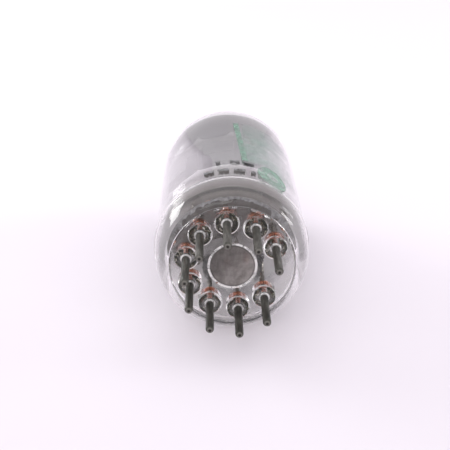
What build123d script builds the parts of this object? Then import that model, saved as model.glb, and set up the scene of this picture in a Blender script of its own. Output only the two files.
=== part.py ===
from build123d import *
import os
from math import cos, radians, sin, sqrt

os.makedirs("parts", exist_ok=True)

# A miniature all-glass double triode with a nine-pin button base, in millimetres.
# It is built upright, its pins down, with the seating plane of the glass button at height 0
# and the valve's axis on Z. save() lays it on its side: pins towards -Y, dome towards +Y, +Z up.
# Pin angles are counted as seen from below the pins, from +X towards the laid part's +Z.

# ---- Base: nine pins on ten equal places -------------------------------------------------
pin_circle = 11.89
pin_places = 10
pin_count = 9
gap_angle = -11.0
pin_dia = 1.016
pin_reach = 7.08  # pin tips below the seating plane
pin_root_dia = 0.7  # the pin's neck, inside the glass
pin_sunk = 0.8  # how far the neck goes up above the seating plane
pin_nose = 0.42  # rounding of a pin's tip
seal_dia = 0.7
lead_dia = 0.6
lead_bend = 0.9
lead_slope = 0.5  # how far a lead's slanting run climbs for its run across
lead_slope_share = 0.6  # the most of a lead's height that its slanting run takes
bend_share = 0.45  # the most of a run that a bend at its end takes

# ---- Glass button ------------------------------------------------------------------------
button_thick = 2.5
button_rim = 0.555  # from the bosses out to the seam with the bulb
rim_round = 0.2
boss_radius = 1.5
boss_drop = 0.18  # outer boss below the seating plane
collar_wall = 0.3
collar_drop = 0.45  # collar's tip below the seating plane
inner_boss_rise = 0.9
inner_boss_wall = 0.35
mark_radius = 3.0  # ring moulded in the button's outer face
mark_width = 0.35
mark_depth = 0.15

# ---- Bulb --------------------------------------------------------------------------------
shoulder_out = 2.05  # from the seam out to the bulb's full radius
shoulder_height = 4.8
bulb_wall = 0.95
tip_foot = 2.6  # radius where the dome turns into the exhaust tip
tip_height = 2.9  # exhaust tip above the dome
tip_waist = 0.95
tip_waist_up = 0.5  # share of the tip's height at which it is measured
film_thick = 0.05

# ---- Electrode cage ----------------------------------------------------------------------
cage_turn = -12.5  # the cage's twist against the row axes
lead_rise = 7.6  # from the inner bosses to the lower mica
cage_length = 14.2  # between the micas
head_room = 7.25  # from the upper mica to where the dome starts
mica_thick = 0.3
mica_body_gap = 0.75  # mica's plain edge to the bulb
mica_tooth_gap = 0.06  # mica's tooth tips to the bulb
mica_teeth = 12
tooth_width = 1.6
tooth_hollow = 0.4  # share of a tooth's height at which its flanks are most hollow
section_offset = 3.7  # a section's mid-plane from the cage's
sheet = 0.15
slot_gap = 0.03  # round whatever passes through a mica
play = 0.15  # between the anodes or the screen and the micas

anode_mouth = 5.0
anode_face = 3.4
anode_depth = 1.9
anode_flange = 1.4
anode_ear = 0.9
anode_ear_up = 0.7
anode_ear_down = 2.0
bead_radius = 0.35
beads = 2

rod_spacing = 2.7
rod_dia = 0.6
rod_up = 0.8
rod_down = 1.6  # foot of the rod that its lead is welded to
rod_stub = 0.7  # foot of the other rod
winding_wire = 0.12
winding_sides = 8  # the wire's section
winding_pitch = 0.8
winding_half_width = 0.95
winding_rod_gap = 0.02

cathode_dia = 1.3
cathode_wall = 0.08
cathode_up = 0.7
cathode_down = 1.0
ribbon_width = 0.5
ribbon_thick = 0.1
ribbon_past = 0.3  # past the sleeve's middle
ribbon_reach = 2.3  # from the sleeve's middle out to its lead

heater_dia = 0.42
heater_bend = 0.27
heater_top_gap = 1.0
link_dia = 0.45
link_heights = (2.3, 3.1)  # below the lower mica
link_overhang = 0.5
heater_stub = 0.35

# ---- Where the leads meet their electrodes -----------------------------------------------
lead_below = 0.6  # a lead turns up this far below its electrode's foot
ear_weld = 1.2  # run beside the foot of an anode's or the screen's ear
rod_weld = 1.0
ribbon_weld = 0.6
link_lead_runs = (1.6, 3.2)  # straight run under each heater link, up to the link
link_lead_past = 0.5
link_lead_sides = (1.2, -1.6)  # from the cage's middle, along the links

screen_width = 12.6
screen_ear = 1.0
screen_ear_up = 1.4
screen_ear_down = 2.0

# ---- Getter ------------------------------------------------------------------------------
getter_height = 5.6  # above the upper mica
getter_radius = 3.0
getter_section = 0.55
getter_groove = 0.3
post_dia = 0.6
post_bend = 1.2

# ---- Worked out from the sizes above -----------------------------------------------------
pin_radius = pin_dia / 2
pin_pitch = 360 / pin_places
pin_ring = pin_circle / 2
button_radius = pin_ring + boss_radius + button_rim
bulb_radius = button_radius + shoulder_out
bore_radius = bulb_radius - bulb_wall
inner_boss_top = button_thick + inner_boss_rise
lower_mica_at = inner_boss_top + lead_rise
mica_top = lower_mica_at + mica_thick
upper_mica_at = mica_top + cage_length
upper_mica_top = upper_mica_at + mica_thick
cylinder_top = upper_mica_top + head_room
dome_top = cylinder_top + bulb_radius
link_offset = heater_bend + heater_dia / 2 + link_dia / 2
grid_half = rod_spacing / 2
winding_half = grid_half + rod_dia / 2 + winding_rod_gap + winding_wire / 2
sheet_bottom = mica_top + play
sheet_top = upper_mica_at - play
UP = (Align.CENTER, Align.CENTER, Align.MIN)


def save(name, shape):
    """Lays a piece on its side and writes it as one node."""
    laid = Rot(-90, 0, 0) * shape
    laid.label = name
    export_step(laid, f"parts/{name}.step")


def around(angle, radius, height=0.0):
    """A point of the upright part, at an angle counted as seen from below the pins."""
    turn = radians(angle)
    return Vector(radius * cos(turn), -radius * sin(turn), height)


def pin_angle(number):
    return gap_angle - pin_pitch * number


def pin_place(number, height=0.0):
    return around(pin_angle(number), pin_ring, height)


def rod(radius, low, high):
    return Pos(0, 0, low) * Cylinder(radius, high - low, align=UP)


def turned(points):
    """A solid of revolution about Z from its half outline, given as (radius, height)."""
    outline = Polyline([(x, 0, z) for x, z in points], close=True)
    return revolve(make_face(outline), Axis.Z)


def in_cage(shape):
    return Rot(0, 0, cage_turn) * shape


def cage_point(x, y, z):
    turn = radians(cage_turn)
    return Vector(x * cos(turn) - y * sin(turn), x * sin(turn) + y * cos(turn), z)


def wire_along(points, diameter, bend):
    """A round wire through points, with each corner bent to a radius that its runs allow."""
    spots = [Vector(*p) for p in points]
    runs = [(b - a).length for a, b in zip(spots, spots[1:])]
    radii = []
    for i in range(1, len(spots) - 1):
        turn = radians((spots[i] - spots[i - 1]).get_angle(spots[i + 1] - spots[i]))
        reach = bend_share * min(runs[i - 1], runs[i])
        radii.append(min(bend, reach / (sin(turn / 2) / cos(turn / 2))))
    path = FilletPolyline(*spots, radius=radii) if radii else Line(*spots)
    start = Plane(origin=spots[0], z_dir=spots[1] - spots[0])
    return sweep(start * Circle(diameter / 2), path=path)


# ---- Glass -------------------------------------------------------------------------------
def dome_point(radius, angle):
    """A point of a dome over the cylinder, at an angle up from the dome's rim."""
    return (radius * cos(radians(angle)), 0, cylinder_top + radius * sin(radians(angle)))


def glass_bulb():
    """Shoulder, cylinder and dome drawn to a sealed exhaust tip, all of one wall."""
    foot = (button_radius, 0, rim_round)
    waist = (bulb_radius, 0, shoulder_height)
    brow = dome_point(bulb_radius, 0)
    rise = sqrt(bulb_radius**2 - tip_foot**2)
    tip_start = (tip_foot, 0, cylinder_top + rise)
    tip_end = (0, 0, dome_top + tip_height)
    shoulder = EllipticalCenterArc(
        (button_radius, shoulder_height),
        bulb_radius - button_radius,
        shoulder_height - rim_round,
        start_angle=-90,
        arc_size=90,
    )
    outer = [
        Plane.XZ * shoulder,
        Line(waist, brow),
        ThreePointArc(brow, dome_point(bulb_radius, 45), tip_start),
        Spline(
            tip_start,
            (tip_waist, 0, dome_top + tip_waist_up * tip_height),
            tip_end,
            tangents=[(-rise, 0, tip_foot), (-1, 0, 0)],
        ),
    ]
    inner_low = (button_radius, 0, button_thick)
    inner_waist = (bore_radius, 0, shoulder_height + bulb_wall)
    inner_brow, inner_middle, inner_top = (dome_point(bore_radius, angle) for angle in (0, 45, 90))
    inner_shoulder = EllipticalCenterArc(
        (button_radius, inner_waist[2]),
        bore_radius - button_radius,
        inner_waist[2] - button_thick,
        start_angle=-90,
        arc_size=90,
    )
    inner = [
        Line(tip_end, inner_top),
        ThreePointArc(inner_top, inner_middle, inner_brow),
        Line(inner_brow, inner_waist),
        Plane.XZ * inner_shoulder,
        Line(inner_low, foot),
    ]
    return revolve(make_face(outer + inner), Axis.Z)


def button_stem():
    """The moulded disc, with a boss and a collar round each pin's seal."""
    disc = turned(
        [
            (0, 0),
            (button_radius - rim_round, 0),
            (button_radius, rim_round),
            (button_radius, button_thick),
            (0, button_thick),
        ]
    )
    mark = turned(
        [
            (mark_radius - mark_width / 2, 0),
            (mark_radius, mark_depth),
            (mark_radius + mark_width / 2, 0),
        ]
    )
    outer_boss = turned(
        [
            (0, 0),
            (boss_radius, 0),
            (boss_radius - boss_drop, -boss_drop),
            (pin_radius + collar_wall, -boss_drop),
            (pin_radius + collar_wall / 4, -collar_drop),
            (0, -collar_drop),
        ]
    )
    inner_boss = turned(
        [
            (0, button_thick),
            (boss_radius, button_thick),
            (seal_dia / 2 + inner_boss_wall, inner_boss_top),
            (0, inner_boss_top),
        ]
    )
    pin_hole = rod(pin_root_dia / 2, -collar_drop, pin_sunk)
    seal_hole = rod(seal_dia / 2, pin_sunk, inner_boss_top)
    stem = disc - mark
    for number in range(1, pin_count + 1):
        stem += Pos(pin_place(number)) * outer_boss
        stem += Pos(pin_place(number)) * inner_boss
    for number in range(1, pin_count + 1):
        stem -= Pos(pin_place(number)) * pin_hole
        stem -= Pos(pin_place(number)) * seal_hole
    return stem


def getter_film():
    """The thin metal mirror on the inside of the dome, down to the upper mica."""
    skin = bore_radius - film_thick
    low = upper_mica_top + film_thick
    rim, middle, pole = (dome_point(bore_radius, angle) for angle in (0, 45, 90))
    skin_rim, skin_middle, skin_pole = (dome_point(skin, angle) for angle in (0, 45, 90))
    outline = [
        Line((bore_radius, 0, low), rim),
        ThreePointArc(rim, middle, pole),
        Line(pole, skin_pole),
        ThreePointArc(skin_pole, skin_middle, skin_rim),
        Line(skin_rim, (skin, 0, low)),
        Line((skin, 0, low), (bore_radius, 0, low)),
    ]
    return revolve(make_face(outline), Axis.Z)


# ---- Pins, seals and leads ---------------------------------------------------------------
def contact_pin(number):
    pin = rod(pin_radius, -pin_reach, -collar_drop)
    pin = fillet(pin.edges().group_by(Axis.Z)[0], pin_nose)
    pin += rod(pin_root_dia / 2, -collar_drop, pin_sunk)
    return Pos(pin_place(number)) * pin


def seal_wire(number):
    return Pos(pin_place(number)) * rod(seal_dia / 2, pin_sunk, inner_boss_top)


def lead_targets():
    """Where each lead ends: a point beside its electrode's foot, under the lower mica."""
    ear_x = anode_mouth / 2 + anode_flange / 2
    ear_low = lower_mica_at - anode_ear_down
    ear_side = section_offset + sheet + lead_dia / 2
    grid_low = lower_mica_at - rod_down
    grid_side = section_offset + rod_dia / 2 + lead_dia / 2
    ribbon_side = section_offset + cathode_dia / 2 + ribbon_thick + lead_dia / 2
    ribbon_x = lead_dia / 2 - ribbon_reach
    ribbon_low = lower_mica_at - cathode_down
    under = (link_dia + lead_dia) / 2
    screen_x = screen_width / 2 - screen_ear / 2
    screen_low = lower_mica_at - screen_ear_down
    screen_side = -(sheet / 2 + lead_dia / 2)
    section = {
        1: [(ear_x, ear_side, ear_low - lead_below), (ear_x, ear_side, ear_low + ear_weld)],
        2: [(grid_half, grid_side, grid_low - lead_below), (grid_half, grid_side, grid_low + rod_weld)],
        3: [
            (ribbon_x, ribbon_side, ribbon_low - lead_below),
            (ribbon_x, ribbon_side, ribbon_low + ribbon_weld),
        ],
    }
    targets = dict(section)
    for number, points in section.items():
        targets[number + 5] = [(-x, -y, z) for x, y, z in points]
    for number, place, run, y, drop in zip(
        (4, 5), (-link_offset, link_offset), link_lead_runs, link_lead_sides, link_heights
    ):
        height = lower_mica_at - drop - under
        targets[number] = [(place - run, y, height), (place + link_lead_past, y, height)]
    targets[9] = [
        (screen_x, screen_side, screen_low - lead_below),
        (screen_x, screen_side, screen_low + ear_weld),
    ]
    return targets


def inner_lead(number, target):
    """From its seal straight up, across, and up beside the electrode's foot."""
    near, end = (cage_point(*p) for p in target)
    start = pin_place(number, inner_boss_top)
    flat_gap = ((near.X - start.X) ** 2 + (near.Y - start.Y) ** 2) ** 0.5
    climb = min(lead_slope * flat_gap, lead_slope_share * (near.Z - start.Z))
    turn_at = pin_place(number, near.Z - climb)
    return wire_along([start, turn_at, near, end], lead_dia, lead_bend)


# ---- Micas -------------------------------------------------------------------------------
def mica_holes():
    """Clearance holes and slots for all that passes through both micas."""
    cuts = []
    ear_x = anode_mouth / 2 + anode_flange / 2
    for side in (-1, 1):
        middle = side * section_offset
        cuts.append(Pos(0, middle) * Circle(cathode_dia / 2 + slot_gap))
        for hand in (-1, 1):
            cuts.append(Pos(hand * grid_half, middle) * Circle(rod_dia / 2 + slot_gap))
            slot = Rectangle(anode_ear + 2 * slot_gap, sheet + 2 * slot_gap)
            cuts.append(Pos(hand * ear_x, middle + side * sheet / 2) * slot)
    for hand in (-1, 1):
        slot = Rectangle(screen_ear + 2 * slot_gap, sheet + 2 * slot_gap)
        cuts.append(Pos(hand * (screen_width - screen_ear) / 2, 0) * slot)
    return cuts


def mica_tooth():
    """A cusp with hollow flanks, standing on the plain edge and pointing outwards."""
    edge = bore_radius - mica_body_gap
    reach = bore_radius - mica_tooth_gap
    root = sqrt(edge**2 - tooth_width**2 / 4)
    hollow_x = root + (reach - root) * tooth_hollow
    hollow_y = tooth_width / 2 * (1 - tooth_hollow) ** 2
    outline = [
        (root - tooth_width, 0),
        (root, -tooth_width / 2),
        (hollow_x, -hollow_y),
        (reach, 0),
        (hollow_x, hollow_y),
        (root, tooth_width / 2),
    ]
    return make_face(Polyline(outline, close=True))


def mica(height):
    """A disc with pointed teeth that hold it central in the bulb."""
    outline = Circle(bore_radius - mica_body_gap)
    for place in range(mica_teeth):
        outline += Rot(0, 0, (place + 0.5) * 360 / mica_teeth) * mica_tooth()
    for cut in mica_holes():
        outline -= cut
    return in_cage(Pos(0, 0, height) * extrude(outline, mica_thick))


# ---- Sections ----------------------------------------------------------------------------
def channel(mouth, face, depth):
    corners = [(-mouth / 2, 0), (-face / 2, depth), (face / 2, depth), (mouth / 2, 0)]
    return make_face(Polyline(corners, close=True))


def anode_half(with_ears):
    """A pressed channel with flanges, its flanges on the section's mid-plane."""
    length = sheet_top - sheet_bottom
    skin = channel(anode_mouth + 2 * sheet, anode_face + 2 * sheet, anode_depth + sheet)
    hollow = channel(anode_mouth, anode_face, anode_depth)
    profile = skin - hollow
    for hand in (-1, 1):
        flange = Rectangle(anode_flange, sheet, align=(Align.CENTER, Align.MIN))
        profile += Pos(hand * (anode_mouth + anode_flange) / 2, 0) * flange
    half = Pos(0, 0, sheet_bottom) * extrude(profile, length)
    for bead in range(beads):
        height = sheet_bottom + length * (bead + 1) / (beads + 1)
        roll = Rot(0, 90, 0) * Cylinder(bead_radius, anode_face - 2 * sheet)
        hollow_roll = Rot(0, 90, 0) * Cylinder(bead_radius - sheet, anode_face - 4 * sheet)
        half += Pos(0, anode_depth + sheet, height) * roll
        half -= Pos(0, anode_depth + sheet, height) * hollow_roll
        inside = Pos(0, 0, height) * Box(anode_face, 2 * anode_depth, 2 * bead_radius)
        half -= inside & (Pos(0, 0, sheet_bottom) * extrude(hollow, length))
    if with_ears:
        ear_x = (anode_mouth + anode_flange) / 2
        above = anode_ear_up + mica_thick + play
        below = anode_ear_down + mica_thick + play
        top = Box(anode_ear, sheet, above, align=(Align.CENTER, Align.MIN, Align.MIN))
        foot = Box(anode_ear, sheet, below, align=(Align.CENTER, Align.MIN, Align.MAX))
        for hand in (-1, 1):
            half += Pos(hand * ear_x, 0, sheet_top) * top
            half += Pos(hand * ear_x, 0, sheet_bottom) * foot
    return half


def placed_half(side, outward):
    """side 1 is the section of pins 1 to 3, -1 that of pins 6 to 8."""
    half = anode_half(outward)
    if not outward:
        half = mirror(half, Plane.XZ)
    half = Pos(0, section_offset, 0) * half
    return in_cage(half if side > 0 else Rot(0, 0, 180) * half)


def section_piece(side, shape):
    shape = Pos(0, section_offset, 0) * shape
    return in_cage(shape if side > 0 else Rot(0, 0, 180) * shape)


def grid_rod(side, hand):
    low = lower_mica_at - (rod_down if hand > 0 else rod_stub)
    high = upper_mica_top + rod_up
    return section_piece(side, Pos(hand * grid_half, 0, 0) * rod(rod_dia / 2, low, high))


def grid_winding(side):
    """One fine wire wound round both rods as a flattened helix."""
    length = sheet_top - sheet_bottom - 2 * winding_pitch
    path = Helix(winding_pitch, length, winding_half)
    start = Plane(origin=path @ 0, z_dir=path % 0)
    coil = sweep(start * RegularPolygon(winding_wire / 2, winding_sides), path=path)
    flat = scale(coil, by=(1, winding_half_width / winding_half, 1))
    return section_piece(side, Pos(0, 0, sheet_bottom + winding_pitch) * flat)


def cathode_sleeve(side):
    low = lower_mica_at - cathode_down
    high = upper_mica_top + cathode_up
    sleeve = rod(cathode_dia / 2, low, high) - rod(cathode_dia / 2 - cathode_wall, low, high)
    return section_piece(side, sleeve)


def cathode_ribbon(side):
    """A short flat strip from the sleeve's side out to its lead."""
    middle = (ribbon_past - ribbon_reach) / 2
    strip = Pos(middle, (cathode_dia + ribbon_thick) / 2, lower_mica_at - cathode_down) * Box(
        ribbon_past + ribbon_reach, ribbon_thick, ribbon_width, align=UP
    )
    return section_piece(side, strip)


def heater(side):
    """A coated hairpin in the sleeve, its two feet at the two link wires."""
    top = upper_mica_at - heater_top_gap
    feet = [lower_mica_at - drop - heater_stub for drop in link_heights]
    legs = rod(heater_dia / 2, feet[0], top)
    hairpin = Pos(-heater_bend * side, 0, 0) * legs
    hairpin += Pos(heater_bend * side, 0, 0) * rod(heater_dia / 2, feet[1], top)
    bow_turned = Rot(90, 0, 0) * revolve(
        Plane.XZ * Pos(heater_bend, 0) * Circle(heater_dia / 2), Axis.Z, 180
    )
    hairpin += Pos(0, 0, top) * bow_turned
    return section_piece(side, hairpin)


def heater_link(index):
    """A wire across both sections, beside one foot of each heater."""
    side = -1 if index == 0 else 1
    height = lower_mica_at - link_heights[index]
    length = 2 * (section_offset + link_overhang)
    bar = Rot(90, 0, 0) * Cylinder(link_dia / 2, length)
    return in_cage(Pos(side * link_offset, 0, height) * bar)


def screen_plate():
    """The flat plate between the sections, with an ear at each corner."""
    plate = Pos(0, 0, sheet_bottom) * Box(screen_width, sheet, sheet_top - sheet_bottom, align=UP)
    for hand in (-1, 1):
        x = hand * (screen_width - screen_ear) / 2
        rise = screen_ear_up + mica_thick + play
        plate += Pos(x, 0, sheet_top) * Box(screen_ear, sheet, rise, align=UP)
    foot_drop = screen_ear_down + mica_thick + play
    foot = Box(screen_ear, sheet, foot_drop, align=(Align.CENTER, Align.CENTER, Align.MAX))
    plate += Pos((screen_width - screen_ear) / 2, 0, sheet_bottom) * foot
    return in_cage(plate)


# ---- Getter ------------------------------------------------------------------------------
def getter_ring():
    """A ring of channel section, open towards the dome."""
    height = upper_mica_top + getter_height
    section = Pos(getter_radius, height) * Circle(getter_section)
    groove = Pos(getter_radius, height + getter_section) * Rectangle(
        2 * getter_groove, 2 * getter_section
    )
    return in_cage(revolve(Plane.XZ * (section - groove), Axis.Z))


def getter_post():
    """A bent wire from the screen's upper ear to the underside of the ring."""
    foot_x = (screen_width - screen_ear) / 2
    foot_y = sheet / 2 + post_dia / 2
    foot = upper_mica_top
    top = upper_mica_top + getter_height - getter_section - post_dia / 2
    points = [
        cage_point(foot_x, foot_y, foot),
        cage_point(foot_x, foot_y, top),
        cage_point(getter_radius - getter_section, foot_y, top),
    ]
    return wire_along(points, post_dia, post_bend)


save("glass_bulb", glass_bulb())
save("button_stem", button_stem())
save("getter_film", getter_film())
for pin_number in range(1, pin_count + 1):
    save(f"pin_{pin_number}", contact_pin(pin_number))
    save(f"seal_wire_{pin_number}", seal_wire(pin_number))
for pin_number, spot in lead_targets().items():
    save(f"lead_{pin_number}", inner_lead(pin_number, spot))
save("lower_mica", mica(lower_mica_at))
save("upper_mica", mica(upper_mica_at))
save("screen_plate", screen_plate())
for section_name, section_side in (("a", 1), ("b", -1)):
    save(f"anode_{section_name}_outer", placed_half(section_side, True))
    save(f"anode_{section_name}_inner", placed_half(section_side, False))
    save(f"grid_{section_name}_rod_1", grid_rod(section_side, -1))
    save(f"grid_{section_name}_rod_2", grid_rod(section_side, 1))
    save(f"grid_{section_name}_winding", grid_winding(section_side))
    save(f"cathode_{section_name}", cathode_sleeve(section_side))
    save(f"cathode_{section_name}_ribbon", cathode_ribbon(section_side))
    save(f"heater_{section_name}", heater(section_side))
save("heater_link_1", heater_link(0))
save("heater_link_2", heater_link(1))
save("getter_ring", getter_ring())
save("getter_post", getter_post())
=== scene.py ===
import bpy
import bmesh
import math
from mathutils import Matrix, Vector
from types import SimpleNamespace


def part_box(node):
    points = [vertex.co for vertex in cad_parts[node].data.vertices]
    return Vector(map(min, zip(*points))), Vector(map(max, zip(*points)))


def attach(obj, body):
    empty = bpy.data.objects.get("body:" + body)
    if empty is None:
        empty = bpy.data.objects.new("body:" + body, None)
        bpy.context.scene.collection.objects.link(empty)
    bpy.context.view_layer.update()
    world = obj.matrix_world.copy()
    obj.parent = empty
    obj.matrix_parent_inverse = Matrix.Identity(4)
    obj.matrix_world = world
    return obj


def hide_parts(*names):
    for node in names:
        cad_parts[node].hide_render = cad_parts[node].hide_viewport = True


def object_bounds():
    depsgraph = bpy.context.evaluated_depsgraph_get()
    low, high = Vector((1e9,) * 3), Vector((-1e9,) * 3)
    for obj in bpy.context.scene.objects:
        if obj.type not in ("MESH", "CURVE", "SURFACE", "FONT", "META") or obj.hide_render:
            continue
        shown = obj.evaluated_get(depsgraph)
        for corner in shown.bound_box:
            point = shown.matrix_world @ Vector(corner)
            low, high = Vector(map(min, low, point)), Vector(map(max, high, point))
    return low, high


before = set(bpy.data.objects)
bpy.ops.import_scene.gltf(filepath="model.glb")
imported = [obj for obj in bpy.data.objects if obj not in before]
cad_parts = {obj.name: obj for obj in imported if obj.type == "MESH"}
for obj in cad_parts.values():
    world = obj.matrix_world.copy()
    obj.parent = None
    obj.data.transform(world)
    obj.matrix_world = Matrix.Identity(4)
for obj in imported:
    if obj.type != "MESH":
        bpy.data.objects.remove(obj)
cad_low, cad_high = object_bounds()

MM = 0.001
DEGREE = math.pi / 180


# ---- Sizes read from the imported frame, in metres -------------------------------------------
def reach(node):
    """How far a node that lies round the valve's axis reaches from it."""
    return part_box(node)[1].x


bulb_radius = reach("glass_bulb")
seam_radius = reach("button_stem")
film_radius = reach("getter_film")
mica_radius = reach("lower_mica")
film_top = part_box("getter_film")[1].y
tip_top = cad_high.y
floor_height = cad_low.z

pin_low, pin_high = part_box("pin_1")
pin_radius = (pin_high.x - pin_low.x) / 2
pin_tip = pin_low.y
first_pin = (pin_low + pin_high) / 2
pin_ring = math.hypot(first_pin.x, first_pin.z)
pin_places = 10
pin_cell = math.tau / pin_places
gap_from_top = math.atan2(first_pin.x, first_pin.z) - pin_cell

# ---- Sizes that no box gives ---------------------------------------------------------------
# Bulb: its steps are (along the axis, out) on the ridge and (radius, up) on the exhaust tip, in mm
wall = bulb_radius - film_radius
cylinder_end = film_top - film_radius
shoulder_end = 4.8 * MM
seam_lift = 0.2 * MM
tip_foot = 2.6 * MM
ridge_steps = ((0.15, 0.03), (0.3, 0.1), (0.45, 0.03), (0.6, 0.09), (0.8, 0.0))
tip_steps = (
    (1.85, -0.02), (1.35, 0.35), (1.05, 0.95), (0.85, 1.65), (0.65, 2.3), (0.4, 2.72), (0.18, 2.86)
)
shoulder_steps, dome_steps = 24, 36
inner_shoulder_steps, inner_dome_steps = 12, 30
lathe_steps = 128
same_place = 1e-7

# Button
button_top = 2.5 * MM
boss_radius = 1.5 * MM
collar_wall = 0.2 * MM
ring_radius = 3.0 * MM
ring_width = 0.3 * MM
ring_inside = ring_radius - ring_width / 2
ring_outside = ring_radius + ring_width / 2
# Breaks in the ring's painted highlight, where painted dark reflections fall.
break_spacing = 41.0 * DEGREE
break_width = 3.2 * DEGREE
least_shade_side = 165.0 * DEGREE  # where the painted shade on the button is thinnest, from the top
light_side = 130.0 * DEGREE  # the lighter side of the ground centre, from the top

# Getter film, which the mica's teeth shadow
film_clear = 0.01 * MM
film_thick = 0.03 * MM
film_edge = 22.3 * MM
haze_low = 8.0 * MM
haze_edge = 11.5 * MM
mica_teeth = 12
tooth_cell = math.tau / mica_teeth
tooth_from_top = -27.5 * DEGREE
cusp_height = 2.7 * MM
cusp_reach = 0.16  # radians to each side of a tooth

# Printing: a row of the code is (along, height, bars), and a bar (degrees from the top, width), in mm
ink_lift = 0.012 * MM
ink_thick = 0.012 * MM
code_rows = (
    (7.9, 0.75, ((-17, 1.3), (-6, 1.5), (6, 1.5), (17, 0.6))),
    (11.2, 0.6, ((-10, 0.6), (3, 1.3), (14, 1.4))),
)
print_middle = 20.0 * MM
line_size = (0.8 * MM, 16.5 * MM)
line_turn = 8.5
line_lean = 0.055
field_length = 17.0 * MM
field_turn = 36
field_span = 50
roundel_turn = 33
roundel_along = 8.9 * MM
roundel_squeeze = (0.75, 1.05, 1)
roundel_rings = (3.0, 2.5, 2.0, 1.6, 1.15)
centre_rings = (1.0, 0.8, 0.5, 0.1)

# ---- Camera --------------------------------------------------------------------------------
camera_place = Vector((-2.45, -103.15, 50.2)) * MM
camera_drop = 23.37
camera_turn = -0.84
camera_lens = 72.98
camera_sensor = 36.0
camera_range = (1 * MM, 10.0)

lens = bpy.data.cameras.new("camera")
lens.lens = camera_lens
lens.sensor_width = camera_sensor
lens.clip_start, lens.clip_end = camera_range
camera = bpy.data.objects.new("camera", lens)
camera.location = camera_place
camera.rotation_euler = (math.radians(90 - camera_drop), 0, math.radians(camera_turn))
bpy.context.scene.collection.objects.link(camera)
bpy.context.scene.camera = camera


# ---- Material helpers ----------------------------------------------------------------------
def wired(tree, kind, sockets=(), **settings):
    """A node with its settings and sockets filled: a value is set, a socket is linked."""
    node = tree.nodes.new(kind)
    for name, value in settings.items():
        setattr(node, name, value)
    for key, value in dict(sockets).items():
        target = node.inputs[key]
        if isinstance(value, bpy.types.NodeSocket):
            tree.links.new(value, target)
        else:
            target.default_value = value
    return node


def blank_material(name):
    """A new material and its empty node tree."""
    material = bpy.data.materials.new(name)
    material.use_nodes = True
    material.node_tree.nodes.clear()
    return material, material.node_tree


def end_material(tree, shader):
    """The node that a finished material ends in."""
    wired(tree, "ShaderNodeOutputMaterial", {"Surface": shader})


def maths(tree, operation, *values):
    return wired(tree, "ShaderNodeMath", enumerate(values), operation=operation).outputs[0]


def total(tree, first, *others):
    """All the values added up."""
    for value in others:
        first = maths(tree, "ADD", first, value)
    return first


def product(tree, first, *others):
    """All the values multiplied together."""
    for value in others:
        first = maths(tree, "MULTIPLY", first, value)
    return first


def less(tree, value, amount):
    return maths(tree, "SUBTRACT", value, amount)


def distance(tree, across, up):
    """The straight distance that two lengths at right angles make."""
    squares = total(tree, maths(tree, "POWER", across, 2.0), maths(tree, "POWER", up, 2.0))
    return maths(tree, "SQRT", squares)


def spread(tree, value, low, high, to_low=0.0, to_high=1.0):
    """Takes a range of a value evenly to another range, and stays at its ends beyond them."""
    sockets = {"Value": value, "From Min": low, "From Max": high, "To Min": to_low, "To Max": to_high}
    return wired(tree, "ShaderNodeMapRange", sockets).outputs["Result"]


def rise(tree, value, place, soft):
    """Goes smoothly from 0 to 1 as a value passes a place."""
    sockets = {"Value": value, "From Min": place - soft / 2, "From Max": place + soft / 2}
    return wired(tree, "ShaderNodeMapRange", sockets, interpolation_type="SMOOTHSTEP").outputs["Result"]


def fall(tree, value, place, soft):
    """Goes smoothly from 1 to 0 as a value passes a place."""
    return less(tree, 1.0, rise(tree, value, place, soft))


def band(tree, value, low, high, soft):
    """1 between two places, 0 outside them."""
    return product(tree, rise(tree, value, low, soft), fall(tree, value, high, soft))


def object_place(tree):
    return wired(tree, "ShaderNodeTexCoord").outputs["Object"]


def object_axes(tree):
    """The place on the object as its separate X, Y and Z."""
    return wired(tree, "ShaderNodeSeparateXYZ", {0: object_place(tree)}).outputs


def drawn_place(tree, scale, turn=(0, 0, 0)):
    """The place on the object, turned and squeezed, for a pattern drawn out one way."""
    sockets = {"Vector": object_place(tree), "Rotation": turn, "Scale": scale}
    return wired(tree, "ShaderNodeMapping", sockets).outputs[0]


def round_axis(tree):
    """Distance from the valve's axis, angle round it from the top, and place along it."""
    axes = object_axes(tree)
    angle = maths(tree, "ARCTAN2", axes["X"], axes["Z"])
    return distance(tree, axes["X"], axes["Z"]), angle, axes["Y"]


def towards(tree, angle, side):
    """1 on one side of the axis, given as its angle from the top, and -1 on the other."""
    return maths(tree, "COSINE", less(tree, angle, side))


def pin_fold(tree, radius, angle):
    """Folds the ten pin places onto one: way out from the pin, distance from it, and its own angle."""
    shifted = total(tree, less(tree, angle, gap_from_top), pin_cell / 2)
    fold = less(tree, maths(tree, "FLOORED_MODULO", shifted, pin_cell), pin_cell / 2)
    across = product(tree, radius, maths(tree, "SINE", fold))
    outward = less(tree, product(tree, radius, maths(tree, "COSINE", fold)), pin_ring)
    return outward, distance(tree, across, outward), less(tree, angle, fold)


def noise(tree, scale, detail=4.0, roughness=0.55, vector=None, distortion=0.0):
    """A cloudy pattern with about this many clouds to the metre."""
    sockets = {
        "Vector": vector or object_place(tree),
        "Scale": scale,
        "Detail": detail,
        "Roughness": roughness,
        "Distortion": distortion,
    }
    return wired(tree, "ShaderNodeTexNoise", sockets).outputs["Fac"]


def ramp(tree, value, *stops):
    """A colour ramp with (position, colour) stops."""
    node = wired(tree, "ShaderNodeValToRGB", {"Fac": value})
    elements = node.color_ramp.elements
    while len(elements) < len(stops):
        elements.new(1.0)
    for element, (position, colour) in zip(elements, stops):
        element.position = position
        element.color = (*colour, 1)
    return node.outputs["Color"]


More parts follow.
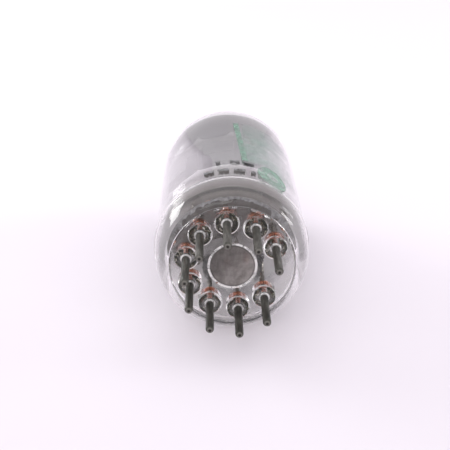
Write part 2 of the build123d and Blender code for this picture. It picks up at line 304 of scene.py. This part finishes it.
def tinted(tree, share, first, colour):
    """A colour laid over another: share 0 shows the first, 1 the second."""
    share_socket, first_socket, second_socket, colour_result = 0, 6, 7, 2
    sockets = {share_socket: share, first_socket: first, second_socket: (*colour, 1)}
    return wired(tree, "ShaderNodeMix", sockets, data_type="RGBA").outputs[colour_result]


def bump(tree, height, depth):
    return wired(tree, "ShaderNodeBump", {"Height": height, "Distance": depth}).outputs["Normal"]


def surface(tree, colour, roughness, metallic=0.0, normal=None, **sockets):
    """An opaque Principled surface, unless a named socket makes it clear."""
    values = {"Base Color": colour, "Roughness": roughness, "Metallic": metallic}
    if normal is not None:
        values["Normal"] = normal
    values.update({name.replace("_", " "): value for name, value in sockets.items()})
    return wired(tree, "ShaderNodeBsdfPrincipled", values).outputs[0]


def mixed(tree, share, first, second):
    """One shader over another: share 0 shows the first, 1 the second."""
    return wired(tree, "ShaderNodeMixShader", {0: share, 1: first, 2: second}).outputs[0]


def clear_shader(tree, colour=(1, 1, 1)):
    return wired(tree, "ShaderNodeBsdfTransparent", {"Color": (*colour, 1)}).outputs[0]


def glass_shader(tree, tint, roughness, normal):
    """Glass that refracts, and lets the lamps through to what is inside."""
    shadow_share = 0.86
    glass = surface(tree, (*tint, 1), roughness, 0.0, normal, IOR=1.5, Transmission_Weight=1.0)
    clear = clear_shader(tree, [value * shadow_share for value in tint])
    shadow = wired(tree, "ShaderNodeLightPath").outputs["Is Shadow Ray"]
    return mixed(tree, shadow, glass, clear)


# ---- Bulb glass ----------------------------------------------------------------------------
def bulb_glass_material():
    """Drawn glass with faint smears, a slow waviness, and painted shade inside the shoulder, darkest in a
    thin ring and on the top side.
    """
    shade_foot, shade_fade_top = 1.6 * MM, 5.7 * MM
    foot_soft, top_soft = 0.3 * MM, 1.4 * MM
    shade_top = 5.8 * MM
    skin = 0.05 * MM
    fuse_clear = 0.01 * MM
    material, tree = blank_material("bulb_glass")
    radius, angle, along = round_axis(tree)
    gloss = spread(tree, noise(tree, 420.0, 6.0, 0.65), 0.45, 0.8, 0.0, 0.09)
    waves = bump(tree, noise(tree, 160.0, 2.0), 0.02 * MM)
    glass = glass_shader(tree, (0.93, 0.93, 0.925), gloss, waves)

    # Painted shade inside the shoulder: grey-brown, near black in a thin ring.
    shade = ramp(
        tree,
        spread(tree, along, button_top, shade_top),
        (0.1, (0.15, 0.135, 0.125)),
        (0.19, (0.012, 0.01, 0.007)),
        (0.27, (0.012, 0.01, 0.007)),
        (0.34, (0.2, 0.18, 0.175)),
        (0.7, (0.28, 0.26, 0.26)),
    )
    inside = fall(tree, radius, film_radius + skin, skin)
    above_foot = rise(tree, along, shade_foot, foot_soft)
    below_top = fall(tree, along, shade_fade_top, top_soft)
    # The painted shade lies on the top side.
    upward = spread(tree, maths(tree, "COSINE", angle), 0.5, 0.95)
    cloud = spread(tree, noise(tree, 380.0), 0.3, 0.7, 0.75, 1.0)
    share = product(tree, inside, above_foot, below_top, upward, cloud)
    shaded = mixed(tree, share, glass, surface(tree, shade, 0.4))

    in_seam = maths(tree, "LESS_THAN", radius, seam_radius + fuse_clear)
    in_button = maths(tree, "LESS_THAN", along, button_top + fuse_clear)
    fused = product(tree, in_seam, in_button)
    end_material(tree, mixed(tree, fused, shaded, clear_shader(tree)))
    return material


# ---- Button glass --------------------------------------------------------------------------
def places_on_button(tree):
    """The places and patterns that the button's layers use.

    A layer gives the share of the surface that it covers, and its finish.
    """
    outer_depth, inner_depth = 0.25 * MM, 2.2 * MM
    at = SimpleNamespace()
    at.radius, at.angle, at.along = round_axis(tree)
    at.outward, at.from_pin, at.pin_turn = pin_fold(tree, at.radius, at.angle)
    half_turned = total(tree, less(tree, at.angle, gap_from_top), math.pi)
    from_gap = less(tree, maths(tree, "FLOORED_MODULO", half_turned, math.tau), math.pi)
    at.off_gap = rise(tree, maths(tree, "ABSOLUTE", from_gap), pin_cell / 2, 0.02)
    at.outer_face = fall(tree, at.along, outer_depth, 0.1 * MM)
    at.inner_face = rise(tree, at.along, inner_depth, 0.2 * MM)
    at.grain = noise(tree, 900.0, 5.0, 0.6)
    at.flecks = noise(tree, 1900.0, 6.0, 0.75, distortion=0.6)
    at.wobble = product(tree, less(tree, noise(tree, 900.0, 3.0), 0.5), 0.5 * MM)
    return at


def interior_shade_layer(tree, at):
    """Painted shade: a grey-brown sheet on the inner face for the dark interior, thinner on one side and
    kept off the pins.
    """
    pin_clear = 1.25 * MM
    whole_until, gone_from = -4.5 * MM, 1.0 * MM
    # Painted shade: a grey-brown sheet standing in for the dark interior seen through the button.
    colour = ramp(tree, at.grain, (0.3, (0.06, 0.053, 0.046)), (0.7, (0.14, 0.126, 0.114)))
    cloud = spread(tree, noise(tree, 260.0, 3.0), 0.3, 0.7, 0.68, 1.0)
    off_pins = spread(tree, rise(tree, at.from_pin, pin_clear, 0.5 * MM), 0.0, 1.0, 0.15, 1.0)
    to_least_shade = product(tree, at.radius, towards(tree, at.angle, least_shade_side))
    thinned = spread(tree, to_least_shade, whole_until, gone_from, 1.0, 0.0)
    share = product(tree, at.inner_face, cloud, off_pins, thinned)
    return share, surface(tree, colour, 0.45)


def pale_band_layer(tree, at):
    """A pale broken band on the inner face, close inside the seam and towards the top."""
    band_width = 0.26 * MM
    colour = ramp(tree, at.flecks, (0.4, (0.26, 0.262, 0.268)), (0.6, (0.62, 0.625, 0.64)))
    serrated = total(tree, at.radius, product(tree, at.wobble, 1.6))
    rim = rise(tree, serrated, seam_radius - band_width, 0.1 * MM)
    upward = spread(tree, maths(tree, "COSINE", at.angle), 0.2, 0.7, 0.0, 0.8)
    return product(tree, at.inner_face, rim, upward), surface(tree, colour, 0.35)


def lead_reflection_layer(tree, at):
    """Two dark crescents round the ring, left and right of it: painted reflections of the dark leads."""
    reflection_low, reflection_high = ring_radius + 0.15 * MM, ring_radius + 0.75 * MM
    # Painted reflection of the dark leads, left and right of the ring.
    colour = ramp(tree, at.flecks, (0.4, (0.03, 0.034, 0.032)), (0.6, (0.11, 0.105, 0.095)))
    sideways = maths(tree, "ABSOLUTE", maths(tree, "SINE", at.angle))
    crescent = spread(tree, total(tree, sideways, product(tree, at.wobble, 400.0)), 0.74, 0.95, 0.0, 0.92)
    reflection_band = band(tree, total(tree, at.radius, at.wobble), reflection_low, reflection_high, 0.3 * MM)
    return product(tree, crescent, reflection_band, at.outer_face), surface(tree, colour, 0.3)


def ground_layer(tree, at):
    """The ground centre inside the ring: scratched one way, lighter to one side, and a painted shadow
    darkens its rim.
    """
    scratches = noise(tree, 3500.0, 3.0, 0.5, drawn_place(tree, (1, 1, 0.12), (0, 0.7, 0)))
    to_light_side = product(tree, at.radius, towards(tree, at.angle, light_side))
    lean = spread(tree, to_light_side, -ring_radius, ring_radius, -0.28, 0.2)
    speckle = total(tree, product(tree, at.grain, 0.85), product(tree, scratches, 0.2))
    # Painted shadow: a dark line just inside the ring.
    painted_shadow_rim = rise(tree, at.radius, ring_radius - ring_width, 0.15 * MM)
    speckle = less(tree, speckle, product(tree, painted_shadow_rim, 0.3))
    colour = ramp(
        tree,
        total(tree, speckle, lean),
        (0.25, (0.07, 0.063, 0.055)),
        (0.5, (0.165, 0.148, 0.134)),
        (0.75, (0.3, 0.275, 0.255)),
    )
    share = product(tree, fall(tree, at.radius, ring_inside, 0.05 * MM), at.outer_face, 0.86)
    return share, surface(tree, colour, 0.35, normal=bump(tree, scratches, 0.01 * MM))


def boss_layer(tree, at):
    """Each boss's dark mottle, flecked with painted glints, with a window above its pin that shows the
    copper seal.
    """
    window_half, window_foot = 0.3 * MM, 0.5 * MM
    raggedness = 1.6 * MM
    cover_thin, cover_thick = 1.6 * MM, 2.05 * MM
    # The palest stop paints glints into the dark mottle.
    colour = ramp(
        tree,
        at.flecks,
        (0.4, (0.003, 0.005, 0.002)),
        (0.51, (0.018, 0.022, 0.012)),
        (0.58, (0.12, 0.115, 0.08)),
        (0.65, (0.7, 0.66, 0.6)),
    )
    mottle = surface(tree, colour, 0.15, normal=bump(tree, at.flecks, 0.12 * MM), Specular_IOR_Level=0.3)
    disc = fall(tree, total(tree, at.from_pin, at.wobble), boss_radius - 0.1 * MM, 0.1 * MM)
    ragged = total(tree, at.from_pin, product(tree, at.flecks, raggedness))
    cover = spread(tree, ragged, cover_thin, cover_thick, 0.6, 0.97)

    axes = object_axes(tree)
    beside_pin = less(tree, axes["X"], product(tree, maths(tree, "SINE", at.pin_turn), pin_ring))
    above_pin = less(tree, axes["Z"], product(tree, maths(tree, "COSINE", at.pin_turn), pin_ring))
    over_pin = fall(tree, maths(tree, "ABSOLUTE", beside_pin), window_half, 0.12 * MM)
    window = product(tree, over_pin, rise(tree, above_pin, window_foot, 0.1 * MM))
    covered = spread(tree, window, 0.0, 1.0, 1.0, 0.12)
    return product(tree, disc, at.outer_face, cover, covered, at.off_gap), mottle


def pale_layer(tree, at):
    """The pale parts: chipped collars, a patchy painted highlight on the ring with breaks of painted dark
    reflection at intervals, and a painted highlight on each boss's outline, brightest towards the axis.
    """
    collar_foot = -0.17 * MM
    outline_width = 0.11 * MM
    brightest, dullest = -0.7 * MM, 0.8 * MM
    collar = fall(tree, at.from_pin, pin_radius + collar_wall, 0.1 * MM)
    below_boss = fall(tree, at.along, collar_foot, 0.04 * MM)
    chipped = spread(tree, at.flecks, 0.4, 0.6, 0.3, 0.95)
    collar = product(tree, collar, below_boss, chipped)

    # A patchy painted highlight on the ring, with breaks of painted dark reflection.
    patchy = spread(tree, noise(tree, 480.0, 6.0, 0.8), 0.4, 0.52, 0.1, 1.0)
    uneven = total(tree, at.angle, product(tree, noise(tree, 200.0, 2.0), 0.5))
    from_break = maths(tree, "FLOORED_MODULO", uneven, break_spacing)
    off_breaks = rise(tree, from_break, break_width, 1.0 * DEGREE)
    ring_highlight = band(tree, at.radius, ring_inside, ring_outside, 0.05 * MM)
    ring_highlight = product(tree, ring_highlight, off_breaks, at.outer_face, patchy)

    # A painted highlight on each boss's outline, brightest towards the axis.
    outline = band(tree, at.from_pin, boss_radius, boss_radius + outline_width, 0.04 * MM)
    axis_side = spread(tree, at.outward, brightest, dullest, 1.0, 0.1)
    outline = product(tree, outline, at.outer_face, at.off_gap, patchy, axis_side)
    share = maths(tree, "MAXIMUM", collar, maths(tree, "MAXIMUM", ring_highlight, outline))
    return share, surface(tree, (0.9, 0.89, 0.87, 1), 0.25)


def stem_glass_material():
    """Moulded glass under its layers, each over the one before, and clear where fused to the bulb."""
    layers = (interior_shade_layer, pale_band_layer, lead_reflection_layer, ground_layer, boss_layer, pale_layer)
    material, tree = blank_material("stem_glass")
    at = places_on_button(tree)
    swirl = bump(tree, noise(tree, 500.0, 3.0, 0.6), 0.05 * MM)
    shader = glass_shader(tree, (0.9, 0.9, 0.885), 0.02, swirl)
    for layer in layers:
        share, finish = layer(tree, at)
        shader = mixed(tree, share, shader, finish)
    at_seam = maths(tree, "GREATER_THAN", at.radius, seam_radius - 0.02 * MM)
    above_rim = maths(tree, "GREATER_THAN", at.along, seam_lift + 0.01 * MM)
    fused = product(tree, at_seam, above_rim)
    end_material(tree, mixed(tree, fused, shader, clear_shader(tree)))
    return material


# ---- Getter film ---------------------------------------------------------------------------
def getter_mirror_material():
    """A dark mirror over the dome, cut back where the mica's teeth shadow it, and a haze below."""
    side_lift, drift_height = 1.1 * MM, 0.8 * MM
    edge_soft, haze_soft = 0.55 * MM, 3.0 * MM
    silver_end = tip_top - 6.0 * MM
    material, tree = blank_material("getter_mirror")
    radius, angle, along = round_axis(tree)
    from_cell = less(tree, angle, tooth_from_top - tooth_cell / 2)
    into_cell = maths(tree, "FLOORED_MODULO", from_cell, tooth_cell)
    off_tooth = maths(tree, "ABSOLUTE", less(tree, into_cell, tooth_cell / 2))
    cusp = maths(tree, "POWER", spread(tree, off_tooth, 0.0, cusp_reach, 1.0, 0.0), 2.0)
    sides = product(tree, maths(tree, "POWER", maths(tree, "ABSOLUTE", angle), 2.0), side_lift)
    drift = product(tree, noise(tree, 130.0, 2.0), drift_height)
    edge_lift = total(tree, product(tree, cusp, cusp_height), sides, drift)
    above_edge = less(tree, less(tree, along, film_edge), edge_lift)
    thick = rise(tree, above_edge, 0.0, edge_soft)

    grain = noise(tree, 700.0, 5.0, 0.6)
    silvered = spread(tree, along, film_edge, silver_end, 0.0, 0.8)
    mirror_colour = ramp(
        tree,
        total(tree, silvered, product(tree, grain, 0.25)),
        (0.1, (0.045, 0.045, 0.05)),
        (0.45, (0.08, 0.078, 0.08)),
        (0.9, (0.3, 0.295, 0.29)),
    )
    mirror = surface(tree, mirror_colour, spread(tree, grain, 0.3, 0.7, 0.1, 0.22), 0.95)

    upward = spread(tree, maths(tree, "COSINE", angle), 0.1, 0.8, 0.08, 0.22)
    beside_tooth = spread(tree, rise(tree, angle, tooth_from_top, 0.05), 0.0, 1.0, 0.8, 1.0)
    haze = product(tree, rise(tree, along, haze_edge, haze_soft), upward, beside_tooth)
    smoke_cloud = noise(tree, 220.0)
    smoke_colour = ramp(tree, smoke_cloud, (0.3, (0.1, 0.097, 0.104)), (0.7, (0.16, 0.156, 0.167)))
    smoke = surface(tree, smoke_colour, 0.4)
    shader = mixed(tree, haze, clear_shader(tree), smoke)
    end_material(tree, mixed(tree, thick, shader, mirror))
    return material


# ---- Metals, mica and ink ------------------------------------------------------------------
def metal(name, dark, light, roughness, grain, metallic=1.0):
    """A metal whose colour and gloss wander between two values, with a fine relief."""
    material, tree = blank_material(name)
    colour = ramp(tree, noise(tree, grain, 6.0, 0.65), (0.3, dark), (0.7, light))
    gloss = spread(tree, noise(tree, grain * 2.3), 0.3, 0.7, *roughness)
    relief = bump(tree, noise(tree, grain * 4, 3.0), 0.02 * MM)
    end_material(tree, surface(tree, colour, gloss, metallic, relief))
    return material


def pin_metal_material():
    """Tarnished nickel, rubbed brighter in streaks, with a bright rim and a dark pit in each tip, and
    painted shade on the lower pins.
    """
    tip_reach, end_reach = 0.5 * MM, 0.3 * MM
    rim_inside, rim_outside = 0.2 * MM, 0.37 * MM
    pit_radius = 0.14 * MM
    material, tree = blank_material("pin_metal")
    axes = object_axes(tree)
    streaks = drawn_place(tree, (1, 0.14, 1))
    tarnish = noise(tree, 2200.0, 6.0, 0.7, streaks)
    # Painted shade: the lower pins darker.
    low_pin_shade = spread(tree, axes["Z"], -pin_ring, pin_ring, -0.09, 0.0)
    colour = ramp(
        tree,
        total(tree, tarnish, low_pin_shade),
        (0.3, (0.03, 0.031, 0.024)),
        (0.5, (0.09, 0.088, 0.076)),
        (0.68, (0.2, 0.193, 0.175)),
    )
    near_tip = spread(tree, axes["Y"], pin_tip, pin_tip + tip_reach, 1.0, 0.0)
    colour = tinted(tree, product(tree, near_tip, 0.4), colour, (0.03, 0.031, 0.022))

    radius, angle = round_axis(tree)[:2]
    from_pin = pin_fold(tree, radius, angle)[1]
    at_end = fall(tree, axes["Y"], pin_tip + end_reach, 0.1 * MM)
    rim = band(tree, from_pin, rim_inside, rim_outside, 0.06 * MM)
    pit = fall(tree, from_pin, pit_radius, 0.1 * MM)
    colour = tinted(tree, product(tree, at_end, rim, 0.5), colour, (0.28, 0.27, 0.24))
    colour = tinted(tree, product(tree, at_end, pit, 0.9), colour, (0.01, 0.01, 0.008))
    gloss = spread(tree, tarnish, 0.3, 0.7, 0.55, 0.36)
    relief = bump(tree, noise(tree, 2600.0, vector=streaks), 0.012 * MM)
    end_material(tree, surface(tree, colour, gloss, 0.55, relief))
    return material


def mica_material():
    """Brownish flaking sheet, paler and pearly at its edge, and painted light makes it paler lower down.
    """
    edge_width, edge_soft = 1.3 * MM, 1.6 * MM
    lit_height = 5.5 * MM
    material, tree = blank_material("mica_sheet")
    flakes = noise(tree, 600.0, 5.0, 0.6, distortion=0.8)
    colour = ramp(tree, flakes, (0.3, (0.12, 0.105, 0.09)), (0.7, (0.24, 0.215, 0.195)))
    edge = rise(tree, round_axis(tree)[0], mica_radius - edge_width, edge_soft)
    # Painted light: the sheet paler lower down.
    lit_low = spread(tree, object_axes(tree)["Z"], lit_height, 0.0, 0.0, 0.9)
    colour = tinted(tree, maths(tree, "MAXIMUM", edge, lit_low), colour, (0.86, 0.85, 0.87))
    end_material(tree, surface(tree, colour, spread(tree, flakes, 0.3, 0.7, 0.2, 0.4), Coat_Weight=0.4))
    return material


def ink_material(name, dark, light, patches, coverage, fade=None):
    """Printed ink, rubbed through in patches, and, with a fade, thinner towards its far edges.

    Coverage is where in the patches the ink starts and is whole, and the most that it hides.
    Fade is where it is gone and where it is whole, first round the glass and then along it.
    """
    material, tree = blank_material(name)
    colour = ramp(tree, noise(tree, 1400.0, 6.0, 0.7), (0.3, dark), (0.7, light))
    start, whole, most = coverage
    patchy = spread(tree, noise(tree, patches, 6.0, 0.7), start, whole, 0.0, most)
    if fade:
        round_fade, along_fade = fade
        angle, along = round_axis(tree)[1:]
        ragged = product(tree, less(tree, noise(tree, 190.0, 5.0, 0.7), 0.5), 1.3)
        side = spread(tree, total(tree, angle, ragged), *round_fade)
        end = spread(tree, total(tree, along, product(tree, ragged, 8.0 * MM)), *along_fade)
        patchy = product(tree, patchy, side, end)
    end_material(tree, mixed(tree, patchy, clear_shader(tree), surface(tree, colour, 0.55)))
    return material


bulb_glass = bulb_glass_material()
stem_glass = stem_glass_material()
mirror_film = getter_mirror_material()
pin_metal = pin_metal_material()
mica_sheet = mica_material()

copper = metal("seal_copper", (0.62, 0.16, 0.07), (0.95, 0.46, 0.32), (0.3, 0.5), 900.0, 0.6)
nickel = metal("lead_nickel", (0.2, 0.19, 0.17), (0.42, 0.4, 0.37), (0.25, 0.4), 600.0)
anode_metal = metal("anode_metal", (0.035, 0.035, 0.035), (0.08, 0.08, 0.082), (0.5, 0.7), 500.0, 0.4)
screen_metal = metal("screen_metal", (0.2, 0.2, 0.19), (0.38, 0.37, 0.36), (0.3, 0.4), 400.0)
white_coat = metal("white_coat", (0.55, 0.54, 0.52), (0.75, 0.74, 0.72), (0.7, 0.9), 900.0, 0.0)

grey_ink = ink_material("grey_ink", (0.13, 0.14, 0.145), (0.3, 0.3, 0.295), 1500.0, (0.36, 0.5, 0.9))
green_ink = ink_material("green_ink", (0.19, 0.39, 0.28), (0.33, 0.51, 0.41), 700.0, (0.3, 0.6, 0.52))
# Painted highlight: the pale disc in the middle of the green roundel.
highlight_green = ink_material("highlight_green", (0.4, 0.52, 0.46), (0.5, 0.6, 0.55), 700.0, (0.3, 0.6, 0.5))
thin_green = ink_material(
    "thin_green",
    (0.32, 0.5, 0.41),
    (0.47, 0.6, 0.54),
    320.0,
    (0.3, 0.75, 0.42),
    fade=((66 * DEGREE, 18 * DEGREE), (29.5 * MM, 22 * MM)),
)


# ---- Mesh helpers --------------------------------------------------------------------------
def new_piece(name, mesh_maker, material):
    """Builds one object at the origin from a function that fills a bmesh."""
    shape = bmesh.new()
    mesh_maker(shape)
    mesh = bpy.data.meshes.new(name)
    shape.to_mesh(mesh)
    shape.free()
    mesh.materials.append(material)
    piece = bpy.data.objects.new(name, mesh)
    bpy.context.scene.collection.objects.link(piece)
    return piece


def lathe(shape, outline):
    """Spins a closed outline of (radius, place along the axis) round the valve's axis."""
    points = [shape.verts.new((radius, along, 0)) for radius, along in outline]
    edges = [shape.edges.new(pair) for pair in zip(points, points[1:] + points[:1])]
    bmesh.ops.spin(
        shape,
        geom=points + edges,
        cent=(0, 0, 0),
        axis=(0, 1, 0),
        angle=math.tau,
        steps=lathe_steps,
        use_merge=True,
    )
    bmesh.ops.remove_doubles(shape, verts=shape.verts, dist=same_place)
    bmesh.ops.recalc_face_normals(shape, faces=shape.faces)
    for face in shape.faces:
        face.smooth = True


def arc(centre, radii, start, end, steps):
    """Points on an ellipse's arc, with angles in degrees from the radial direction."""
    points = []
    for step in range(steps + 1):
        angle = math.radians(start + (end - start) * step / steps)
        points.append((centre[0] + radii[0] * math.cos(angle), centre[1] + radii[1] * math.sin(angle)))
    return points


def dome_arc(radius, start, end, steps):
    """An arc about the middle of the dome."""
    return arc((0, cylinder_end), (radius, radius), start, end, steps)


# ---- Glass bulb ----------------------------------------------------------------------------
def bulb_outline():
    """Shoulder, moulded double ridge, cylinder, dome and exhaust tip, then the inner wall."""
    shoulder_reach = (bulb_radius - seam_radius, shoulder_end - seam_lift)
    shoulder = arc((seam_radius, shoulder_end), shoulder_reach, -90, 0, shoulder_steps)
    ridge = [(bulb_radius + out * MM, shoulder_end + step * MM) for step, out in ridge_steps]
    foot_angle = math.degrees(math.acos(tip_foot / bulb_radius))
    dome = dome_arc(bulb_radius, 0, foot_angle, dome_steps)
    pole = cylinder_end + bulb_radius
    tip = [(radius * MM, pole + up * MM) for radius, up in tip_steps] + [(0, tip_top)]
    inner_dome = dome_arc(film_radius, 90, 0, inner_dome_steps)
    inner_start = shoulder_end + wall
    inner_reach = (film_radius - seam_radius, inner_start - button_top)
    inner_shoulder = arc((seam_radius, inner_start), inner_reach, 0, -90, inner_shoulder_steps)
    return shoulder + ridge + dome + tip + inner_dome + inner_shoulder


bulb = new_piece("bulb_shell", lambda shape: lathe(shape, bulb_outline()), bulb_glass)
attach(bulb, "root")
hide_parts("glass_bulb")


# ---- Getter mirror -------------------------------------------------------------------------
def mirror_outline():
    """Both faces of the film on the bulb's inner wall, from above the button to the dome's pole."""
    outer = film_radius - film_clear
    inner = outer - film_thick
    going_up = [(outer, haze_low)] + dome_arc(outer, 0, 90, inner_dome_steps)
    coming_down = dome_arc(inner, 90, 0, inner_dome_steps) + [(inner, haze_low)]
    return going_up + coming_down


mirror = new_piece("getter_mirror", lambda shape: lathe(shape, mirror_outline()), mirror_film)
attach(mirror, "root")
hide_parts("getter_film")


# ---- Printing on the glass -----------------------------------------------------------------
def round_by(degrees):
    """The way round the glass that a turn makes."""
    return bulb_radius * math.radians(degrees)


def wrap_on_bulb(shape):
    """Rolls a flat shape, drawn as (round the glass, along it), onto the bulb and gives it thickness."""
    place = bulb_radius + ink_lift
    for vert in shape.verts:
        turn = vert.co.x / bulb_radius
        vert.co = Vector((place * math.sin(turn), vert.co.y, place * math.cos(turn)))
    bmesh.ops.recalc_face_normals(shape, faces=shape.faces)
    first = shape.faces[:][0]
    middle = first.calc_center_median()
    if first.normal.dot(Vector((middle.x, 0, middle.z))) < 0:
        bmesh.ops.reverse_faces(shape, faces=shape.faces)
    bmesh.ops.solidify(shape, geom=shape.faces[:], thickness=ink_thick)


def ink_patch(shape, place, size, columns, rows):
    """One flat patch, drawn as a grid fine enough to roll."""
    made = bmesh.ops.create_grid(shape, x_segments=columns, y_segments=rows, size=0.5)["verts"]
    bmesh.ops.scale(shape, verts=made, vec=(*size, 1))
    bmesh.ops.translate(shape, verts=made, vec=(*place, 0))
    return made


def draw_code(shape):
    """Two worn rows of plain bars."""
    for along, height, bars in code_rows:
        for degrees, width in bars:
            ink_patch(shape, (round_by(degrees), along * MM), (width * MM, height * MM), 8, 4)


def draw_line(shape):
    """One long thin line that leans across the glass."""
    for vert in ink_patch(shape, (round_by(line_turn), print_middle), line_size, 2, 24):
        vert.co.x -= line_lean * (vert.co.y - print_middle)


def draw_field(shape):
    """A wide field beside the line, whose ink is gone before its far edges."""
    ink_patch(shape, (round_by(field_turn), print_middle), (round_by(field_span), field_length), 36, 24)


def draw_rings(shape, radii):
    """A flat ring: a circle whose edge is drawn inwards step by step, then squeezed into an oval."""
    bmesh.ops.create_circle(shape, radius=radii[0] * MM, segments=56)
    rim = shape.edges[:]
    for outer, inner in zip(radii, radii[1:]):
        made = bmesh.ops.extrude_edge_only(shape, edges=rim)["geom"]
        verts = [item for item in made if isinstance(item, bmesh.types.BMVert)]
        edges = [item for item in made if isinstance(item, bmesh.types.BMEdge)]
        rim = [edge for edge in edges if all(vert in verts for vert in edge.verts)]
        bmesh.ops.scale(shape, verts=verts, vec=(inner / outer, inner / outer, 1))
    bmesh.ops.scale(shape, verts=shape.verts, vec=roundel_squeeze)
    bmesh.ops.translate(shape, verts=shape.verts, vec=(round_by(roundel_turn), roundel_along, 0))


def ink_piece(name, ink, draw, *details):
    """Draws one print flat, rolls it onto the bulb and fixes it there."""
    def maker(shape):
        draw(shape, *details)
        wrap_on_bulb(shape)

    piece = new_piece(name, maker, ink)
    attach(piece, "root")


ink_piece("code_marks", grey_ink, draw_code)
ink_piece("green_line", green_ink, draw_line)
ink_piece("green_field", thin_green, draw_field)
ink_piece("green_roundel", green_ink, draw_rings, roundel_rings)
# The roundel's pale centre is a painted highlight.
ink_piece("roundel_centre", highlight_green, draw_rings, centre_rings)


# ---- CAD nodes that keep their shape -------------------------------------------------------
def finish_of(name):
    """The finish of a node, told from its name; what isn't named here is bare nickel."""
    finishes = (
        ("button_stem", stem_glass),
        ("lower_mica", mica_sheet),
        ("upper_mica", mica_sheet),
        ("screen_plate", screen_metal),
        ("pin_", pin_metal),
        ("seal_wire", copper),
        ("anode", anode_metal),
    )
    if "_rod_" in name:
        return copper
    if name.startswith(("cathode_a", "cathode_b", "heater_a", "heater_b")) and "ribbon" not in name:
        return white_coat
    return next((finish for start, finish in finishes if name.startswith(start)), nickel)


for name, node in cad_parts.items():
    node.data.materials.clear()
    node.data.materials.append(finish_of(name))


# ---- Floor ---------------------------------------------------------------------------------
floor_half = 2.0
floor_front, floor_back = -30 * MM, 35 * MM  # painted shade: where the floor is darkest and where it is lightest


def floor_material():
    """Pale floor with a faint mottle, and painted shade that makes it a little darker towards the front.
    """
    material, tree = blank_material("floor_white")
    # Painted shade: the floor darker towards the front.
    depth = spread(tree, object_axes(tree)["Y"], floor_front, floor_back, -0.5, 0.5)
    mottle = total(tree, noise(tree, 6.0, 3.0), depth)
    colour = ramp(tree, mottle, (0.0, (0.78, 0.745, 0.785)), (0.7, (0.875, 0.835, 0.882)))
    end_material(tree, surface(tree, colour, 0.9, Specular_IOR_Level=0.1))
    return material


def floor_shape(shape):
    bmesh.ops.create_grid(shape, x_segments=1, y_segments=1, size=floor_half)
    bmesh.ops.translate(shape, verts=shape.verts, vec=(0, 0, floor_height))


floor = new_piece("floor", floor_shape, floor_material())


# ---- Light ---------------------------------------------------------------------------------
light_target = Vector((0, 15 * MM, 0))


def softbox(name, place, size, power):
    """A rectangular lamp, turned towards the valve."""
    lamp = bpy.data.lights.new(name, "AREA")
    lamp.shape = "RECTANGLE"
    lamp.size, lamp.size_y = size
    lamp.energy = power
    holder = bpy.data.objects.new(name, lamp)
    holder.location = place
    holder.rotation_euler = (light_target - Vector(place)).to_track_quat("-Z", "Y").to_euler()
    bpy.context.scene.collection.objects.link(holder)


softbox("top_light", (0, 0.3, 0.9), (1.2, 0.9), 1.9)
softbox("left_light", (-0.384, 0.23, 0.144), (0.26, 0.12), 0.75)
softbox("right_light", (0.46, 0.05, 0.18), (0.15, 0.15), 0.5)
softbox("front_light", (-0.15, -0.45, 0.4), (0.3, 0.3), 0.5)


def studio_world():
    """White where it is seen; as a light a little dimmer, and dimmest from behind the camera."""
    behind_camera = (0, -0.97, 0.24)
    glow_colour = (0.99, 0.945, 1.0, 1)
    bright, dim = 0.88, 0.72
    world = bpy.data.worlds.new("studio")
    bpy.context.scene.world = world
    world.use_nodes = True
    tree = world.node_tree
    tree.nodes.clear()
    ways = {0: wired(tree, "ShaderNodeTexCoord").outputs["Generated"], 1: behind_camera}
    backward = wired(tree, "ShaderNodeVectorMath", ways, operation="DOT_PRODUCT").outputs["Value"]
    light = spread(tree, backward, 0.5, 0.97, bright, dim)
    seen = wired(tree, "ShaderNodeLightPath").outputs["Is Camera Ray"]
    strength = total(tree, product(tree, light, less(tree, 1.0, seen)), seen)
    glow = wired(tree, "ShaderNodeBackground", {"Color": glow_colour, "Strength": strength})
    wired(tree, "ShaderNodeOutputWorld", {"Surface": glow.outputs[0]})


studio_world()
view = bpy.context.scene.view_settings
view.view_transform = "Standard"
view.look = "None"
rays = bpy.context.scene.cycles
rays.max_bounces = 24
rays.transmission_bounces = 20
rays.transparent_max_bounces = 24
rays.glossy_bounces = 8
